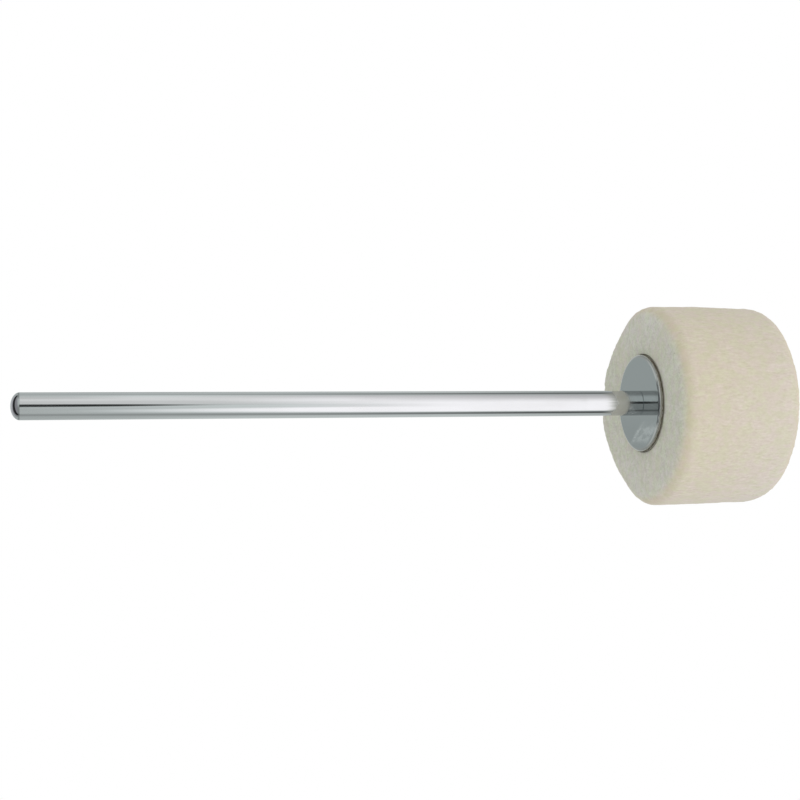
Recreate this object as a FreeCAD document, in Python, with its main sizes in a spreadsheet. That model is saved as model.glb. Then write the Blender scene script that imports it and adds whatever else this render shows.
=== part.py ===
"""Bass drum beater: a round wool-felt head clamped on the shouldered stud of a plated steel rod.

The rod stands on the Z axis with the middle of its domed tip at the origin and the head at the top.
Above the rod's shoulder the stud carries, from below: a washer, the felt head, a second washer, a split
spring washer and a hexagon nut. Every length is in millimetres and every angle in degrees.
"""

import FreeCAD
import Part
import Sketcher
import math
import os

# Driving sizes: alias, value, what it measures
DRIVING_SIZES = (
    ("rod_diameter", 8.0, "shank that the pedal clamps"),
    ("rod_length", 194.4, "tip of the rod to its shoulder"),
    ("tip_crown", 2.3, "height of the domed free end"),
    ("stud_diameter", 6.0, "turned-down end that carries the head, over its thread"),
    ("stud_overhang", 2.0, "stud that stands out of the tightened nut"),
    ("stud_chamfer", 0.8, "lead-in at the end of the thread"),
    ("washer_diameter", 31.0, "both large washers"),
    ("washer_thickness", 1.5, "both large washers"),
    ("washer_edge_chamfer", 0.35, "broken outer edge of a large washer, away from the felt"),
    ("washer_clearance", 0.2, "gap all round between the stud and a large washer"),
    ("felt_diameter", 64.0, "round side of the head, which strikes"),
    ("felt_length", 40.0, "head along the rod, as clamped"),
    ("felt_edge_radius", 4.6, "rounded rims of the head"),
    ("felt_clearance", 0.1, "gap all round between the stud and the felt"),
    ("lock_washer_width", 2.6, "radial width of the spring washer's section"),
    ("lock_washer_thickness", 1.6, "spring washer, pressed flat"),
    ("lock_washer_gap", 1.1, "slit between the spring washer's ends"),
    ("lock_washer_slant", 1.0, "sideways run of the slit from face to face"),
    ("lock_washer_clearance", 0.1, "gap all round between the stud and the spring washer"),
    ("nut_across_flats", 10.0, "hexagon nut"),
    ("nut_height", 5.0, "hexagon nut"),
    ("nut_corner_chamfer", 1.1, "how far the chamfer runs in from a corner of the nut"),
    ("nut_chamfer_angle", 30.0, "corner chamfer against the nut's face"),
    ("nut_countersink", 0.45, "chamfer at each end of the nut's bore"),
    ("thread_clearance", 0.05, "gap all round between the stud and the nut's bore"),
    ("cut_overrun", 1.0, "how far a cut runs past the faces that it goes through"),
)

# Places along the rod, as sums of the driving sizes
LOWER_WASHER_SEAT = "sizes.rod_length"
FELT_SEAT = LOWER_WASHER_SEAT + " + sizes.washer_thickness"
UPPER_WASHER_SEAT = FELT_SEAT + " + sizes.felt_length"
LOCK_WASHER_SEAT = UPPER_WASHER_SEAT + " + sizes.washer_thickness"
NUT_SEAT = LOCK_WASHER_SEAT + " + sizes.lock_washer_thickness"
STUD_END = NUT_SEAT + " + sizes.nut_height + sizes.stud_overhang"

# Radii that several features share
ROD_RADIUS = "sizes.rod_diameter / 2"
STUD_RADIUS = "sizes.stud_diameter / 2"
WASHER_RADIUS = "sizes.washer_diameter / 2"
WASHER_BORE = STUD_RADIUS + " + sizes.washer_clearance"
FELT_RADIUS = "sizes.felt_diameter / 2"
FELT_BORE = STUD_RADIUS + " + sizes.felt_clearance"
LOCK_WASHER_BORE = STUD_RADIUS + " + sizes.lock_washer_clearance"
LOCK_WASHER_RADIUS = LOCK_WASHER_BORE + " + sizes.lock_washer_width"
NUT_CORNER_RADIUS = "sizes.nut_across_flats / sqrt(3)"
NUT_BORE = STUD_RADIUS + " + sizes.thread_clearance"

FULL_TURN = 360.0
HEXAGON_SIDES = 6
MATCH_TOLERANCE = 1e-6

# How a sketch numbers its own axes, its origin and the points of a line or circle
X_AXIS_INDEX = -1
Y_AXIS_INDEX = -2
ORIGIN = (X_AXIS_INDEX, 1)
START_INDEX = 1
END_INDEX = 2
CENTRE_INDEX = 3

doc = FreeCAD.newDocument("bass_drum_beater")
sheet = doc.addObject("Spreadsheet::Sheet", "sizes")


# Sheet and document


def fill_sheet():
    """Writes the driving sizes to the spreadsheet that every sub-part reads."""
    for row, (alias, value, note) in enumerate(DRIVING_SIZES, start=1):
        sheet.set(f"A{row}", alias)
        sheet.set(f"B{row}", str(value))
        sheet.setAlias(f"B{row}", alias)
        sheet.set(f"C{row}", note)
    doc.recompute()


def value_of(expression):
    """The present value of an expression on the sheet."""
    return float(sheet.evalExpression(expression))


def new_body(label, seat):
    """A sub-part's body, standing on the Z axis at the height that seat gives."""
    body = doc.addObject("PartDesign::Body", label)
    body.Label = label
    body.setExpression("Placement.Base.z", seat)
    return body


# Sketches


def new_sketch(body, plane_role, name):
    """A sketch on one of the body's own origin planes."""
    sketch = body.newObject("Sketcher::SketchObject", name)
    plane = next(p for p in body.Origin.OriginFeatures if p.Role == plane_role)
    sketch.AttachmentSupport = (plane, [""])
    sketch.MapMode = "FlatFace"
    return sketch


def tie(sketch, *constraint):
    """Adds a constraint that holds pieces of the sketch together."""
    sketch.addConstraint(Sketcher.Constraint(*constraint))


def dimension(sketch, expression, *constraint):
    """Adds a dimension to the sketch and binds it to an expression on the sheet."""
    index = sketch.addConstraint(Sketcher.Constraint(*constraint, value_of(expression)))
    sketch.setExpression(f"Constraints[{index}]", expression)


def hold_corner(sketch, line, across, along):
    """Holds the start of a line at a corner whose two coordinates are expressions."""
    if across == "0":
        tie(sketch, "PointOnObject", line, START_INDEX, Y_AXIS_INDEX)
    else:
        dimension(sketch, across, "DistanceX", *ORIGIN, line, START_INDEX)
    if along == "0":
        tie(sketch, "PointOnObject", line, START_INDEX, X_AXIS_INDEX)
    else:
        dimension(sketch, along, "DistanceY", *ORIGIN, line, START_INDEX)


def draw_outline(sketch, corners):
    """Draws a closed run of straight lines and dimensions every corner from the origin."""
    points = [FreeCAD.Vector(value_of(across), value_of(along), 0) for across, along in corners]
    lines = [
        sketch.addGeometry(Part.LineSegment(start, end))
        for start, end in zip(points, points[1:] + points[:1])
    ]
    for line, next_line, (across, along) in zip(lines, lines[1:] + lines[:1], corners):
        tie(sketch, "Coincident", line, END_INDEX, next_line, START_INDEX)
        hold_corner(sketch, line, across, along)


def draw_domed_outline(sketch, corners):
    """Draws an outline that runs from the origin along an arc centred on the vertical axis to its first corner.

    Straight lines join the other corners, and the last of them, on the axis, goes back to the origin.
    """
    points = [FreeCAD.Vector(value_of(across), value_of(along), 0) for across, along in corners]
    lines = [
        sketch.addGeometry(Part.LineSegment(start, end))
        for start, end in zip(points, points[1:] + [FreeCAD.Vector()])
    ]
    for line, (across, along) in zip(lines, corners):
        hold_corner(sketch, line, across, along)
    for line, next_line in zip(lines, lines[1:]):
        tie(sketch, "Coincident", line, END_INDEX, next_line, START_INDEX)
    tie(sketch, "Coincident", lines[-1], END_INDEX, *ORIGIN)

    # A circle that touches the origin and is centred above it has this radius
    rim = points[0]
    radius = rim.Length**2 / (2 * rim.y)
    centre = FreeCAD.Vector(0, radius, 0)
    circle = Part.Circle(centre, FreeCAD.Vector(0, 0, 1), radius)
    dome = sketch.addGeometry(Part.ArcOfCircle(circle, -math.pi / 2, math.atan2(rim.y - radius, rim.x)))
    tie(sketch, "Coincident", dome, START_INDEX, *ORIGIN)
    tie(sketch, "Coincident", dome, END_INDEX, lines[0], START_INDEX)
    tie(sketch, "PointOnObject", dome, CENTRE_INDEX, Y_AXIS_INDEX)


def draw_circle(sketch, radius, construction=False):
    """Draws a circle about the origin and returns its number in the sketch."""
    circle = Part.Circle(FreeCAD.Vector(), FreeCAD.Vector(0, 0, 1), value_of(radius))
    index = sketch.addGeometry(circle, construction)
    tie(sketch, "Coincident", index, CENTRE_INDEX, *ORIGIN)
    dimension(sketch, radius, "Radius", index)
    return index


def draw_hexagon(sketch, corner_radius):
    """Draws a regular hexagon in a construction circle, with its first corner on the X axis."""
    first_corner = FreeCAD.Vector(value_of(corner_radius), 0, 0)
    up = FreeCAD.Vector(0, 0, 1)
    angles = [FULL_TURN * number / HEXAGON_SIDES for number in range(HEXAGON_SIDES)]
    corners = [FreeCAD.Rotation(up, angle).multVec(first_corner) for angle in angles]
    sides = [
        sketch.addGeometry(Part.LineSegment(start, end))
        for start, end in zip(corners, corners[1:] + corners[:1])
    ]
    circle = draw_circle(sketch, corner_radius, construction=True)
    for side, next_side in zip(sides, sides[1:] + sides[:1]):
        tie(sketch, "Coincident", side, END_INDEX, next_side, START_INDEX)
        tie(sketch, "PointOnObject", side, START_INDEX, circle)
    for side in sides[1:]:
        tie(sketch, "Equal", sides[0], side)
    tie(sketch, "PointOnObject", sides[0], START_INDEX, X_AXIS_INDEX)


# Features


def pad(body, sketch, name, length):
    """Raises a sketch by a length."""
    feature = body.newObject("PartDesign::Pad", name)
    feature.Profile = sketch
    feature.setExpression("Length", length)
    doc.recompute()
    return feature


def revolve(body, sketch, name, kind="PartDesign::Revolution"):
    """Turns a sketch a full circle about its own vertical axis."""
    feature = body.newObject(kind, name)
    feature.Profile = sketch
    feature.ReferenceAxis = (sketch, ["V_Axis"])
    feature.Angle = FULL_TURN
    doc.recompute()
    return feature


def pocket_along_normal(body, sketch, name, depth):
    """Cuts a sketch out of the body, on the side that the sketch faces."""
    feature = body.newObject("PartDesign::Pocket", name)
    feature.Profile = sketch
    feature.Reversed = True
    feature.setExpression("Length", depth)
    doc.recompute()
    return feature


def ring_edges(feature, radius, height):
    """Names of a feature's circular edges of that radius at that height in its body."""
    return [
        f"Edge{number}"
        for number, edge in enumerate(feature.Shape.Edges, start=1)
        if not edge.Degenerated
        and isinstance(edge.Curve, Part.Circle)
        and abs(edge.Curve.Radius - value_of(radius)) < MATCH_TOLERANCE
        and abs(edge.Curve.Center.z - value_of(height)) < MATCH_TOLERANCE
    ]


def fillet(body, feature, name, radius, edges):
    """Rounds the named edges of a feature."""
    rounded = body.newObject("PartDesign::Fillet", name)
    rounded.Base = (feature, edges)
    rounded.setExpression("Radius", radius)
    doc.recompute()
    return rounded


def chamfer(body, feature, name, width, edges):
    """Cuts the named edges of a feature back at 45 degrees."""
    bevelled = body.newObject("PartDesign::Chamfer", name)
    bevelled.Base = (feature, edges)
    bevelled.setExpression("Size", width)
    doc.recompute()
    return bevelled


def check_cut(before, after):
    """Stops the build if a cut took nothing away."""
    if not after.Shape.Volume < before.Shape.Volume:
        raise RuntimeError(f"{after.Label} cuts nothing")


# Sub-parts, from the tip of the rod upwards


def shank_rod():
    """Round rod with a domed free end, turned down at the top to a shouldered stud."""
    body = new_body("shank_rod", "0")
    profile = new_sketch(body, "XZ_Plane", "rod_profile")
    draw_domed_outline(
        profile,
        [
            (ROD_RADIUS, "sizes.tip_crown"),
            (ROD_RADIUS, LOWER_WASHER_SEAT),
            (STUD_RADIUS, LOWER_WASHER_SEAT),
            (STUD_RADIUS, STUD_END),
            ("0", STUD_END),
        ],
    )
    turned = revolve(body, profile, "rod_turned")
    stud_end = ring_edges(turned, STUD_RADIUS, STUD_END)
    chamfer(body, turned, "stud_lead_in", "sizes.stud_chamfer", stud_end)
    return body


def large_washer(label, seat, outer_face):
    """Punched flat washer whose edge is broken at its outer face, given as a height in the body."""
    body = new_body(label, seat)
    outline = new_sketch(body, "XY_Plane", label + "_outline")
    draw_circle(outline, WASHER_RADIUS)
    draw_circle(outline, WASHER_BORE)
    blank = pad(body, outline, label + "_blank", "sizes.washer_thickness")
    outer_edge = ring_edges(blank, WASHER_RADIUS, outer_face)
    chamfer(body, blank, label + "_broken_edge", "sizes.washer_edge_chamfer", outer_edge)
    return body


def felt_head():
    """Solid cylinder of pressed wool felt with rounded rims and a bore for the stud."""
    body = new_body("felt_head", FELT_SEAT)
    profile = new_sketch(body, "XZ_Plane", "felt_profile")
    draw_outline(
        profile,
        [
            (FELT_BORE, "0"),
            (FELT_RADIUS, "0"),
            (FELT_RADIUS, "sizes.felt_length"),
            (FELT_BORE, "sizes.felt_length"),
        ],
    )
    block = revolve(body, profile, "felt_block")
    lower_rim = ring_edges(block, FELT_RADIUS, "0")
    upper_rim = ring_edges(block, FELT_RADIUS, "sizes.felt_length")
    fillet(body, block, "felt_rims", "sizes.felt_edge_radius", lower_rim + upper_rim)
    return body


def lock_washer():
    """Spring washer, pressed flat. Its slit leans so that its upper end bites as the nut unscrews."""
    body = new_body("lock_washer", LOCK_WASHER_SEAT)
    outline = new_sketch(body, "XY_Plane", "lock_washer_outline")
    draw_circle(outline, LOCK_WASHER_RADIUS)
    draw_circle(outline, LOCK_WASHER_BORE)
    ring = pad(body, outline, "lock_washer_ring", "sizes.lock_washer_thickness")
    half_gap = "sizes.lock_washer_gap / 2"
    lean = "sizes.lock_washer_slant * (0.5 + sizes.cut_overrun / sizes.lock_washer_thickness)"
    below = "-sizes.cut_overrun"
    above = "sizes.lock_washer_thickness + sizes.cut_overrun"
    slit = new_sketch(body, "YZ_Plane", "lock_washer_slit")
    draw_outline(
        slit,
        [
            (f"{lean} - {half_gap}", below),
            (f"{lean} + {half_gap}", below),
            (f"{half_gap} - {lean}", above),
            (f"-{half_gap} - {lean}", above),
        ],
    )
    split = pocket_along_normal(body, slit, "lock_washer_split", LOCK_WASHER_RADIUS + " + sizes.cut_overrun")
    check_cut(ring, split)
    return body


def top_nut():
    """Hexagon nut with chamfered corners and a countersink at each end of its bore."""
    body = new_body("top_nut", NUT_SEAT)
    outline = new_sketch(body, "XY_Plane", "nut_hexagon")
    draw_hexagon(outline, NUT_CORNER_RADIUS)
    blank = pad(body, outline, "nut_blank", "sizes.nut_height")

    # Each chamfer is a cone that leaves a round bearing face inside the corners
    face_radius = f"{NUT_CORNER_RADIUS} - sizes.nut_corner_chamfer"
    beyond = f"{NUT_CORNER_RADIUS} + sizes.cut_overrun"
    drop = "(sizes.nut_corner_chamfer + sizes.cut_overrun) * tan(sizes.nut_chamfer_angle)"
    cones = new_sketch(body, "XZ_Plane", "nut_chamfer_cones")
    for face, cone_foot in (("0", drop), ("sizes.nut_height", f"sizes.nut_height - {drop}")):
        draw_outline(cones, [(face_radius, face), (beyond, face), (beyond, cone_foot)])
    trimmed = revolve(body, cones, "nut_chamfers", "PartDesign::Groove")
    check_cut(blank, trimmed)

    bore_outline = new_sketch(body, "XY_Plane", "nut_bore_outline")
    draw_circle(bore_outline, NUT_BORE)
    bored = pocket_along_normal(body, bore_outline, "nut_bore", "sizes.nut_height")
    check_cut(trimmed, bored)
    mouths = ring_edges(bored, NUT_BORE, "0") + ring_edges(bored, NUT_BORE, "sizes.nut_height")
    chamfer(body, bored, "nut_countersinks", "sizes.nut_countersink", mouths)
    return body


# Whole beater


def check(bodies):
    """Stops the build if an object failed or a sub-part isn't one sound solid."""
    failed = [item.Label for item in doc.Objects if {"Invalid", "Error"} & set(item.State)]
    unsound = [
        body.Label
        for body in bodies
        if body.Shape.isNull() or not body.Shape.isValid() or len(body.Shape.Solids) != 1
    ]
    if failed or unsound:
        raise RuntimeError(f"failed objects: {failed}; unsound sub-parts: {unsound}")


def export(bodies):
    """Writes each sub-part to its own file, named for its label."""
    os.makedirs("parts", exist_ok=True)
    for body in bodies:
        body.Shape.exportStep(f"parts/{body.Label}.step")


fill_sheet()
beater = [
    shank_rod(),
    large_washer("lower_washer", LOWER_WASHER_SEAT, outer_face="0"),
    felt_head(),
    large_washer("upper_washer", UPPER_WASHER_SEAT, outer_face="sizes.washer_thickness"),
    lock_washer(),
    top_nut(),
]
doc.recompute()
check(beater)
export(beater)
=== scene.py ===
"""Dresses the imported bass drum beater: felt, chromed rod, washers and hardware, in a plain studio."""

import math

import bpy
import numpy as np
from mathutils import Matrix, Vector


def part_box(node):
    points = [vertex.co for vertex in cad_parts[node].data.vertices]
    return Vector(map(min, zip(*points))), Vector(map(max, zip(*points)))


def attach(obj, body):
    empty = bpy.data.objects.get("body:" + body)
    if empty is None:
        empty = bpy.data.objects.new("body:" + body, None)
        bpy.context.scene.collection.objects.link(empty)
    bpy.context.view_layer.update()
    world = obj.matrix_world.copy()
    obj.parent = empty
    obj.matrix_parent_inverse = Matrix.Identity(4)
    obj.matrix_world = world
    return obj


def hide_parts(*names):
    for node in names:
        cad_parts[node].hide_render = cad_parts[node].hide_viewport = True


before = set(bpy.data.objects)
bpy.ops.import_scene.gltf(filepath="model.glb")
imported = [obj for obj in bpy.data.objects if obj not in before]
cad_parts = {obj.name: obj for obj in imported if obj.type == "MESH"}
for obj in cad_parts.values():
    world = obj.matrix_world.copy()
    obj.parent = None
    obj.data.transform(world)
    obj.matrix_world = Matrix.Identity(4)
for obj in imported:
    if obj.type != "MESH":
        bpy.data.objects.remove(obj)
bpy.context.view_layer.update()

MM = 0.001
TURN = 2.0 * math.pi

# Roundings. A row at the flat margin from one keeps the face beside it flat in shading.
FLAT_MARGIN = 0.12 * MM
CORNER_ROWS = 6

# Rod and stud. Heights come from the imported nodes, so the looks stay where the solids are.
ROD_RADIUS = 4.0 * MM
TIP_CROWN = 2.6 * MM
TIP_FIRST_ANGLE = -89.0
TIP_ROWS = 30
STRAIGHT_ROWS = 40
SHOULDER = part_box("lower_washer")[0].z
SHOULDER_CHAMFER = 0.15 * MM
STUD_RADIUS = 3.0 * MM
STUD_FIRST_ROW = SHOULDER + 1.0 * MM
STUD_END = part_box("shank_rod")[1].z
STUD_CHAMFER = 0.8 * MM
STUD_ROWS = 8
THREAD_PITCH = 1.0 * MM
THREAD_DEPTH = 0.54 * MM
THREAD_CREST_SHARE = 0.125
THREAD_FLANK_SHARE = 0.625
THREAD_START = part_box("upper_washer")[0].z + 0.3 * MM
THREAD_RUNOUT = 0.8 * MM
THREAD_ROWS_A_PITCH = 14
ROD_COLUMNS = 160

# Large washers: punched from sheet, so one edge is rolled over and the other is nearly sharp.
WASHER_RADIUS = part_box("lower_washer")[1].x
WASHER_BORE = 3.2 * MM
ROLL_REACH = 1.1 * MM
ROLL_DROP = 0.42 * MM
ROLL_ROWS = 18
SHEARED_EDGE = 0.1 * MM
RIM_ROWS = 8
RIM_REACH = 0.5 * MM
RIM_BLEND = 0.25 * MM
RIM_START_SHARE = 0.2
RIM_BLEND_SHARE = 0.1
WASHER_COLUMNS = 192

# Felt head. A washer's edge bites into each face at the crease.
FELT_RADIUS = 32.0 * MM
FELT_BORE = 3.1 * MM
FELT_BORE_ROWS = 10
FELT_LOWER_RIM = 4.2 * MM
FELT_UPPER_RIM = 4.8 * MM
FELT_RIM_ROWS = 24
FELT_STEP = 0.5 * MM
FELT_COLUMNS = 480
FELT_SHARP_ANGLE = 80.0
FELT_FACE_SHARE = 0.499
FACE_SLOPE_START = 0.35
FACE_SLOPE_SPAN = 0.6
RIM_SLOPE = 0.7
RIM_SLOPE_WIDTH = 0.26
FELT_OFF_CENTRE = (0.85 * MM, 1.1 * MM)
FELT_DRIFT = 0.3 * MM
FELT_DRIFT_SHARE = 0.6
FELT_SEED = 11
FELT_LUMP = 0.16 * MM
FELT_LUMP_BLUR = (12.0, 16.0)
FELT_GRAIN = 0.045 * MM
FELT_GRAIN_BLUR = (2.2, 0.8)
FELT_SEAT_GAP = 0.02 * MM
CREASE_RADIUS = 15.62 * MM
CREASE_WIDTH = 0.2 * MM
CREASE_DEPTH = 0.4 * MM
CREASE_STEP = 0.1 * MM
CREASE_FREE_REACH = 4.0 * MM
BITE_REACH = 6.0 * CREASE_WIDTH
BITE_START = CREASE_RADIUS - BITE_REACH
BITE_END = CREASE_RADIUS + BITE_REACH
REPEATED_ROW_GAP = 0.1 * CREASE_STEP

# Swells of the felt's rims: each one's height, and its place and width in degrees round the axis.
LOWER_RIM_SWELLS = (
    (1.0 * MM, 80.0, 16.0),
    (0.7 * MM, 109.0, 9.0),
    (-0.6 * MM, 34.0, 16.0),
    (-0.6 * MM, 146.0, 16.0),
)
UPPER_RIM_SWELLS = (
    (0.4 * MM, 222.0, 18.0),
    (-0.4 * MM, 342.0, 20.0),
)
SWELL_INSET = 0.03 * FELT_RADIUS
SWELL_REACH = 7.5 * MM

# Split spring washer
SPRING_BORE = 3.1 * MM
SPRING_RADIUS = 5.7 * MM
SPRING_ROUNDING = 0.22 * MM
SPRING_STATIONS = 120
SLIT_WIDTH = 1.1 * MM
SLIT_LEAN = 1.0 * MM

# Hexagon nut
NUT_ACROSS_FLATS = 10.0 * MM
NUT_SIDE_ANGLE = TURN / 6.0
NUT_FACE_RADIUS = 4.72 * MM
NUT_CHAMFER_ANGLE = math.radians(30.0)
NUT_CORNER_SHARE = 0.985
NUT_COUNTERSINK = 0.45 * MM
NUT_THREAD_PLAY = 0.05 * MM
NUT_BORE_ROWS = 74
NUT_FLAT_ROWS = 5
NUT_COLUMNS = 144
NUT_SHARP_ANGLE = 20.0

# Camera, fitted to the rod's edges and the outlines of the head and the washer in an 800 by 800 frame.
CAMERA_PLACE = Vector((0.0, -0.40043, 0.00845))
CAMERA_FORWARD = Vector((-0.0032, 0.9664, 0.2571))
CAMERA_UP = Vector((-1.0, -0.0044, 0.0042))
CAMERA_LENS = 60.75
CAMERA_NEAR = 0.01
CAMERA_FAR = 20.0
SENSOR_WIDTH = 36.0

# Studio: a floor, and a light tent with its ground and a camera card, which only the metal mirrors.
PINHOLE = 0.01 * MM
FLOOR_HEIGHT = -0.045
FLOOR_RADIUS = 0.9
GROUND_HEIGHT = FLOOR_HEIGHT + 1.0 * MM
GROUND_COLUMNS = 96
TENT_RADIUS = 1.0
TENT_HEIGHT = 1.2
TENT_TOP = 1.7
TENT_COLUMNS = 128
DOME_LAST_ANGLE = 86.4
DOME_ROWS = 12
CARD_SIDES = (-0.15, 0.07)
CARD_ENDS = (-0.13, 0.13)
CARD_BEHIND_CAMERA = 0.01
KEY_PLACE = Vector((0.15, -0.85, 0.40))
KEY_TARGET = Vector((0.0, 0.0, 0.215))
KEY_SIZE = 0.9
KEY_POWER = 2.08
KEY_COLOUR = (1.0, 0.99, 0.97)
WHITE = (1.0, 1.0, 1.0, 1.0)
SOFT_WHITE = (0.884, 0.889, 0.894, 1.0)

# Numbers of a mix node's colour sockets, which come after those for numbers and vectors.
MIX_FIRST = 6
MIX_SECOND = 7
MIX_RESULT = 2


def arc(centre_radius, centre_height, rounding, start, end, count, rise=None):
    """Points of an arc in the half plane of a turned profile, from one angle to another in degrees.

    The rounding is its radius, or only its half width where rise gives an ellipse's half height.
    """
    angle = np.radians(np.linspace(start, end, count))
    upward = rounding if rise is None else rise
    radius = centre_radius + rounding * np.cos(angle)
    height = centre_height + upward * np.sin(angle)
    return np.stack([radius, height], axis=1)


def upright(radius, heights):
    """Points of an upright stretch of a profile: one radius at a row of heights."""
    return np.stack([np.full_like(heights, radius), heights], axis=1)


def level(radii, height):
    """Points of a level stretch of a profile: a row of radii at one height."""
    return np.stack([radii, np.full_like(radii, height)], axis=1)


def angles(columns):
    """Equal steps round the axis, without repeating the first."""
    return np.linspace(0.0, TURN, columns, endpoint=False)


def turned(radius, height, columns):
    """Rings about the Z axis: x = radius cos(angle), y = radius sin(angle), z = height.

    There is one row per profile point. radius and height have one value a row, or one a row and column.
    """
    angle = angles(columns)[None, :]
    radius = np.broadcast_to(radius, (radius.shape[0], columns))
    height = np.broadcast_to(height, (height.shape[0], columns))
    return np.stack([radius * np.cos(angle), radius * np.sin(angle), height], axis=2)


def resampled(profile, step):
    """The same outline with points one step apart along its length, by linear interpolation."""
    length = np.concatenate([[0.0], np.cumsum(np.linalg.norm(np.diff(profile, axis=0), axis=1))])
    count = max(2, int(round(length[-1] / step)) + 1)
    along = np.linspace(0.0, length[-1], count)
    radius = np.interp(along, length, profile[:, 0])
    height = np.interp(along, length, profile[:, 1])
    return np.stack([radius, height], axis=1)


def bell(value, centre, width):
    """Gaussian of the distance from a centre."""
    return np.exp(-(((value - centre) / width) ** 2))


def grid_quads(number):
    """Faces between neighbouring rows and columns of a grid of vertex numbers."""
    corners = [number[:-1, :-1], number[:-1, 1:], number[1:, 1:], number[1:, :-1]]
    return np.stack(corners, axis=2).reshape(-1, 4)


def skin(name, rings, joined, sharp_angle=35.0):
    """A closed mesh over a (rows, columns, 3) grid whose columns go all the way round.

    joined: the last row meets the first, as on a ring. Otherwise a fan to its middle closes each end row.
    The signed volume, a sixth of the sum of each triangle's triple product, tells whether to turn the faces.
    """
    rows, columns = rings.shape[:2]
    points = rings.reshape(-1, 3)
    number = np.arange(rows * columns).reshape(rows, columns)
    number = np.concatenate([number, number[:, :1]], axis=1)
    if joined:
        number = np.concatenate([number, number[:1]], axis=0)
    quads = grid_quads(number)
    fans = np.zeros((0, 3), int)
    if not joined:
        middles = np.stack([rings[0].mean(axis=0), rings[-1].mean(axis=0)])
        first = np.full(columns, len(points))
        last = first + 1
        points = np.concatenate([points, middles])
        start_fan = np.stack([number[0, 1:], number[0, :-1], first], axis=1)
        end_fan = np.stack([number[-1, :-1], number[-1, 1:], last], axis=1)
        fans = np.concatenate([start_fan, end_fan])
    triangles = np.concatenate([quads[:, [0, 1, 2]], quads[:, [0, 2, 3]], fans])
    a, b, c = (points[triangles[:, side]] for side in range(3))
    if np.einsum("ij,ij->i", a, np.cross(b, c)).sum() < 0.0:
        quads = quads[:, ::-1]
        fans = fans[:, ::-1]
    mesh = bpy.data.meshes.new(name)
    mesh.from_pydata(points.tolist(), [], quads.tolist() + fans.tolist())
    mesh.shade_smooth()
    mesh.set_sharp_from_angle(angle=math.radians(sharp_angle))
    mesh.update()
    piece = bpy.data.objects.new(name, mesh)
    bpy.context.scene.collection.objects.link(piece)
    return piece


def mark(piece, name, row_values, columns):
    """Keeps one number a grid row on the mesh, at each of the row's vertices, for its material to read."""
    values = np.repeat(row_values, columns).astype(np.float32)
    attribute = piece.data.attributes.new(name, "FLOAT", "POINT")
    attribute.data.foreach_set("value", values)


def thread_depth(height, angle):
    """Depth of a right-hand thread below its crests at a height and angle.

    The share of a turn, height / pitch - angle / turn, runs from crest to root and back as a triangle wave,
    cut flat over an eighth of it at the crest and a quarter at the root.
    """
    share = np.mod(height / THREAD_PITCH - angle / TURN, 1.0)
    wave = np.abs(2.0 * share - 1.0)
    return THREAD_DEPTH * np.clip((wave - THREAD_CREST_SHARE) / THREAD_FLANK_SHARE, 0.0, 1.0)


def chromed_rod():
    """Rod and stud in one: a turned profile, less the thread's depth near the stud's end.

    The tip is half an ellipse. The thread fades in over its runout, and the end chamfer limits the radius to
    what is left below 45 degrees.
    """
    straight = np.linspace(TIP_CROWN + FLAT_MARGIN, SHOULDER - SHOULDER_CHAMFER, STRAIGHT_ROWS)
    threaded_rows = int(THREAD_ROWS_A_PITCH * (STUD_END - THREAD_START) / THREAD_PITCH)
    profile = np.concatenate([
        arc(0.0, TIP_CROWN, ROD_RADIUS, TIP_FIRST_ANGLE, 0.0, TIP_ROWS, TIP_CROWN),
        upright(ROD_RADIUS, straight),
        [[ROD_RADIUS - SHOULDER_CHAMFER, SHOULDER], [STUD_RADIUS, SHOULDER]],
        upright(STUD_RADIUS, np.linspace(STUD_FIRST_ROW, THREAD_START, STUD_ROWS)),
        upright(STUD_RADIUS, np.linspace(THREAD_START, STUD_END, threaded_rows)[1:]),
    ])
    height = profile[:, 1:]
    angle = angles(ROD_COLUMNS)[None, :]
    runout = np.clip((height - THREAD_START) / THREAD_RUNOUT, 0.0, 1.0)
    chamfered = STUD_RADIUS - np.maximum(height - (STUD_END - STUD_CHAMFER), 0.0)
    cut = np.minimum(STUD_RADIUS - runout * thread_depth(height, angle), chamfered)
    radius = np.where(height > THREAD_START, cut, profile[:, :1])
    return skin("chromed_rod", turned(radius, height, ROD_COLUMNS), joined=False)


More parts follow.
